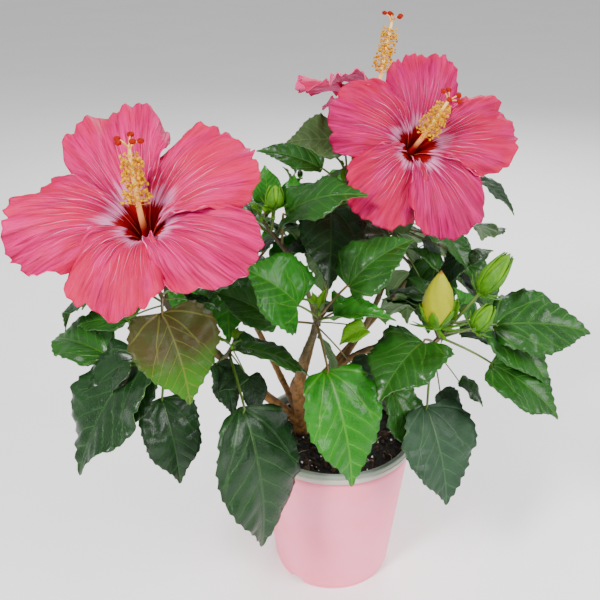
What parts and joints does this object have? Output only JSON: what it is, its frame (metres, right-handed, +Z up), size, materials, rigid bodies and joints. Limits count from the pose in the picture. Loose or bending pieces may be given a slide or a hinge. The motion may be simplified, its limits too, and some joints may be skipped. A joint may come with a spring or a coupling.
{
  "type": "potted hibiscus shrub",
  "caption": "Small flowering hibiscus shrub with toothed leaves, large open pink blooms and buds, standing in a round tapered nursery pot with a banded rim.",
  "frame": {"origin": "centre of the pot's flat underside", "axes": "+Z up through the pot's centre, -Y the plant's front with the two large facing blooms, +X the viewer's right"},
  "size_m": [0.4036, 0.3441, 0.4461],
  "materials": {
    "pot": "satin",
    "pot_rim": "satin",
    "soil": "matte",
    "bark": "rough",
    "leaf_bright": "satin",
    "leaf_mid": "satin",
    "leaf_dark": "satin",
    "leaf_olive": "satin",
    "petal": "satin",
    "petal_back": "satin",
    "bud_yellow": "satin",
    "bud_green": "satin"
  },
  "bodies": {
    "root": {"pot": "pot", "pot_rim": "pot_rim", "soil": "soil", "trunk": "bark", "bough_left": "bark", "bough_left_low": "bark", "bough_left_mid": "bark", "bough_front": "bark", "bough_centre": "bark", "bough_right": "bark", "bough_upper_left": "bark", "bough_upper_right": "bark", "bough_rear": "bark", "bough_rear_left": "bark", "bough_rear_right": "bark", "foliage_left": "leaf_olive", "foliage_left_low": "leaf_dark", "foliage_left_mid": "leaf_dark", "foliage_front": "leaf_bright", "foliage_right": "leaf_mid", "foliage_upper_left": "leaf_mid", "foliage_upper_centre": "leaf_dark", "foliage_upper_right": "leaf_dark", "foliage_rear": "leaf_mid", "foliage_rear_left": "leaf_dark", "foliage_rear_right": "leaf_dark", "bloom_left": "petal", "bloom_right": "petal", "bloom_rear": "petal_back", "bud_yellow": "bud_yellow", "bud_green_upper": "bud_green", "bud_green_lower": "bud_green", "bud_upper_left": "bud_green"}
  },
  "joints": []
}
